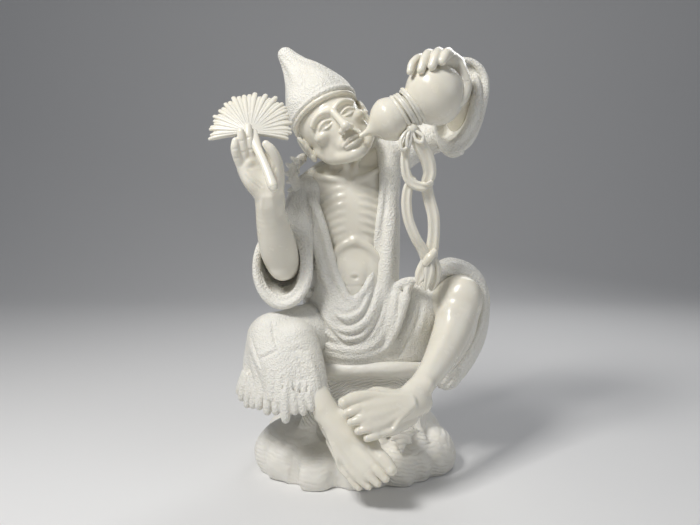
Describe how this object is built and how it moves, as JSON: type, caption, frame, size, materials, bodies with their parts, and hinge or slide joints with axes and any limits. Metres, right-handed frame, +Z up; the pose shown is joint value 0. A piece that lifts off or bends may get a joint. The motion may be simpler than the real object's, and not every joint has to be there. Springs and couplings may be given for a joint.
{
  "type": "stone figure",
  "caption": "Carved stone figure of a seated man in a pointed hat, drinking from a two-bulbed gourd and holding a leaf fan, on a rock seat.",
  "frame": {"origin": "middle of the rock seat's flat underside", "axes": "+Z up; the figure faces -Y; +X is towards its raised left arm"},
  "size_m": [0.2911, 0.2121, 0.4451],
  "materials": {
    "white_stone": "smooth carved stone, part polished and part chiselled"
  },
  "bodies": {
    "root": {"stone_figure": "white_stone"}
  },
  "joints": []
}
